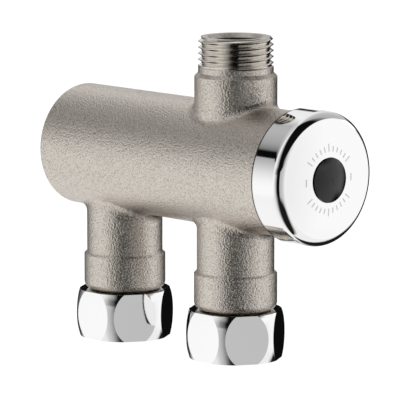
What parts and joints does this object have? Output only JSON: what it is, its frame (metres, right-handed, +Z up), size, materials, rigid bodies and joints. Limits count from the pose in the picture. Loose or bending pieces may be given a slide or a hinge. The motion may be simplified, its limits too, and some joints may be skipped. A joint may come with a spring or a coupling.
{
  "type": "thermostatic mixing valve",
  "caption": "Compact mixing valve: level barrel, union nuts on the hot and cold inlets below, threaded outlet on top, round control knob on the end.",
  "frame": {"origin": "centre of the cold inlet's mouth, in the lower face of its union nut", "axes": "+Z up through the cold inlet and the outlet, +X along the barrel to the knob, hot inlet on the -X side"},
  "size_m": [0.0795, 0.0294, 0.0715],
  "materials": {
    "blasted_nickel": "matt nickel plate on a sand-blasted brass casting",
    "chrome": "polished chrome plate",
    "machined_brass": "turned",
    "plug_plastic": "satin",
    "cartridge_plastic": "glass-filled, moulded",
    "check_plastic": "moulded",
    "element_copper": "drawn copper",
    "steel": "stainless",
    "seal_rubber": "moulded"
  },
  "bodies": {
    "valve": {"valve_body": "blasted_nickel", "cartridge_sleeve": "cartridge_plastic", "hot_seat": "cartridge_plastic", "bonnet": "machined_brass", "hot_side_seal": "seal_rubber", "middle_seal": "seal_rubber", "bonnet_gasket": "seal_rubber", "return_spring": "steel", "hot_nipple": "machined_brass", "hot_filter_washer": "seal_rubber", "hot_check_cage": "check_plastic", "hot_check_spring": "steel", "cold_nipple": "machined_brass", "cold_filter_washer": "seal_rubber", "cold_check_cage": "check_plastic", "cold_check_spring": "steel"},
    "control": {"control_knob": "chrome", "knob_plug": "plug_plastic", "knob_screw": "steel", "spindle": "machined_brass", "spindle_clip": "steel", "spindle_seal": "seal_rubber"},
    "adjuster": {"adjuster_nut": "machined_brass", "overtravel_spring": "steel"},
    "pusher": {"pusher_cap": "machined_brass", "element_piston": "steel"},
    "thermostat": {"shuttle": "cartridge_plastic", "shuttle_seal": "seal_rubber", "wax_element": "element_copper"},
    "hot_nut": {"hot_union_nut": "chrome"},
    "cold_nut": {"cold_union_nut": "chrome"},
    "hot_check": {"hot_check_poppet": "check_plastic"},
    "cold_check": {"cold_check_poppet": "check_plastic"}
  },
  "joints": [
    {"name": "knob_turn", "type": "hinge", "parent": "valve", "child": "control", "pos_m": [0.0197, 0, 0.0428], "axis": [1, 0, 0], "range_deg": [-135, 135]},
    {"name": "adjuster_slide", "type": "slide", "parent": "valve", "child": "adjuster", "axis": [1, 0, 0], "range_m": [-0.00056, 0.00056]},
    {"name": "overtravel_slide", "type": "slide", "parent": "adjuster", "child": "pusher", "axis": [1, 0, 0], "range_m": [0, 0.001], "stiffness_N_per_m": 4000, "springref_m": -0.003, "deforming": ["overtravel_spring"]},
    {"name": "thermostat_slide", "type": "slide", "parent": "adjuster", "child": "thermostat", "axis": [-1, 0, 0], "range_m": [0, 0.0008], "stiffness_N_per_m": 2000, "springref_m": -0.0015, "deforming": ["return_spring"]},
    {"name": "hot_nut_swivel", "type": "hinge", "parent": "valve", "child": "hot_nut", "pos_m": [-0.036, 0, 0.005], "axis": [0, 0, 1], "continuous": true},
    {"name": "hot_check_lift", "type": "slide", "parent": "valve", "child": "hot_check", "axis": [0, 0, 1], "range_m": [0, 0.0015], "stiffness_N_per_m": 60, "springref_m": -0.004, "deforming": ["hot_check_spring"]},
    {"name": "cold_nut_swivel", "type": "hinge", "parent": "valve", "child": "cold_nut", "pos_m": [0, 0, 0.005], "axis": [0, 0, 1], "continuous": true},
    {"name": "cold_check_lift", "type": "slide", "parent": "valve", "child": "cold_check", "axis": [0, 0, 1], "range_m": [0, 0.0015], "stiffness_N_per_m": 60, "springref_m": -0.004, "deforming": ["cold_check_spring"]}
  ],
  "couplings": [
    {"joint": "adjuster_slide", "follows": "knob_turn", "m_per_rad": 0.00023873}
  ]
}
